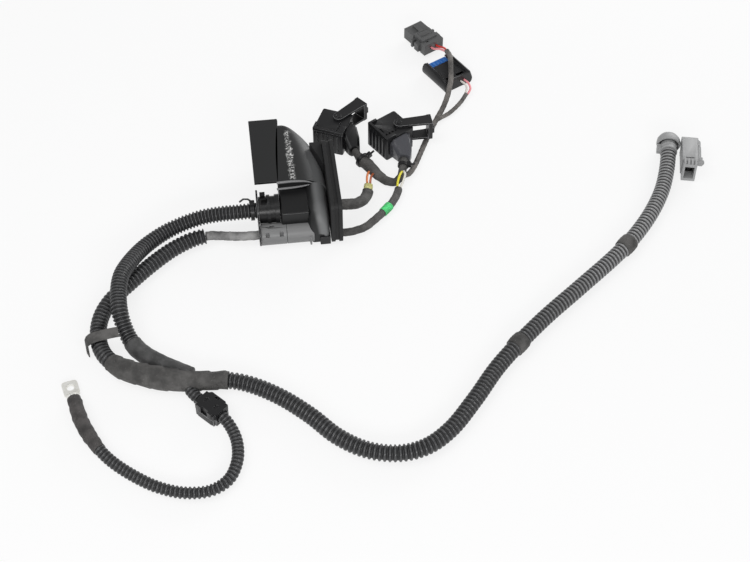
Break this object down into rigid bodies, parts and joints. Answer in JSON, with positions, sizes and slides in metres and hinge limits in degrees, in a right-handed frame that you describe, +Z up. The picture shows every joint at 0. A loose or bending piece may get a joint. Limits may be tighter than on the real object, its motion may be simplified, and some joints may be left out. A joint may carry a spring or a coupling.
{
  "type": "wiring harness",
  "caption": "Vehicle wiring harness with a bulkhead pass-through housing, corrugated conduits, taped branches, lever-lock connectors and a ring terminal.",
  "frame": {"origin": "on the supporting surface, under the middle of the bulkhead housing", "axes": "+X out of the bulkhead face towards the cabin branches, +Y along the housing's long side, +Z up"},
  "size_m": [0.7595, 0.7009, 0.0634],
  "materials": {
    "black_moulding": "fine satin moulding",
    "grey_moulding": "satin moulding",
    "rubber_seal": "matt rubber",
    "corrugated_conduit": "satin ribbed polyamide",
    "cloth_tape": "matt cloth tape",
    "blue_plastic": "satin",
    "tin_plate": "pale tin plate",
    "yellow_wire": "satin insulation",
    "green_tape": "satin tape",
    "orange_wire": "satin insulation",
    "brown_wire": "satin insulation",
    "red_wire": "satin insulation",
    "pink_wire": "satin insulation",
    "white_wire": "satin insulation"
  },
  "bodies": {
    "harness": {"bulkhead_hood": "black_moulding", "flange_seal": "rubber_seal", "adaptor_end_plate": "black_moulding", "adaptor_feed_clamp": "black_moulding", "adaptor_branch_clamp": "grey_moulding", "adaptor_coupling": "grey_moulding", "feed_conduit": "corrugated_conduit", "return_conduit": "corrugated_conduit", "adaptor_taped_cable": "cloth_tape", "tape_joint": "cloth_tape", "split_sleeve": "cloth_tape", "long_conduit": "corrugated_conduit", "tape_strap": "cloth_tape", "tape_collar_near": "cloth_tape", "tape_collar_far": "cloth_tape", "terminal_conduit": "corrugated_conduit", "terminal_sleeve": "cloth_tape", "branch_one_cable": "cloth_tape", "branch_one_band": "yellow_wire", "branch_two_cable": "cloth_tape", "branch_two_band": "green_tape", "link_bundle": "cloth_tape", "branch_one_wire_orange": "orange_wire", "branch_one_wire_brown": "brown_wire", "branch_two_wire_yellow": "yellow_wire", "branch_two_wire_white": "white_wire", "tall_branch_cable": "cloth_tape", "short_branch_cable": "cloth_tape", "three_way_wire_red": "red_wire", "three_way_wire_pink": "pink_wire", "socket_wire_white": "white_wire", "socket_wire_pink": "pink_wire", "adaptor_cable_tie": "black_moulding", "left_tie": "black_moulding", "right_tie": "black_moulding", "clip_base": "black_moulding", "ring_terminal": "tin_plate", "end_boot": "grey_moulding", "end_backshell": "grey_moulding", "end_housing": "grey_moulding", "end_lock": "grey_moulding", "end_insert": "black_moulding", "left_lever_housing": "black_moulding", "left_contact_insert": "black_moulding", "left_wire_cover": "grey_moulding", "right_lever_housing": "black_moulding", "right_contact_insert": "black_moulding", "right_wire_cover": "grey_moulding", "three_way_housing": "grey_moulding", "three_way_retainer": "grey_moulding", "socket_shell": "black_moulding", "socket_insert": "blue_plastic"},
    "left_lever": {"left_locking_lever": "black_moulding"},
    "right_lever": {"right_locking_lever": "black_moulding"},
    "clip_cover": {"clip_lid": "black_moulding"}
  },
  "joints": [
    {"name": "left_lever_hinge", "type": "hinge", "parent": "harness", "child": "left_lever", "pos_m": [0.06185, 0.09837, 0.02], "axis": [0, 0, 1], "range_deg": [-8, 70]},
    {"name": "right_lever_hinge", "type": "hinge", "parent": "harness", "child": "right_lever", "pos_m": [0.13263, 0.07772, 0.02], "axis": [0, 0, 1], "range_deg": [-8, 80]},
    {"name": "clip_lid_hinge", "type": "hinge", "parent": "harness", "child": "clip_cover", "pos_m": [-0.12255, -0.3147, 0.0092], "axis": [0.6691, -0.7431, 0], "range_deg": [0, 85]}
  ]
}
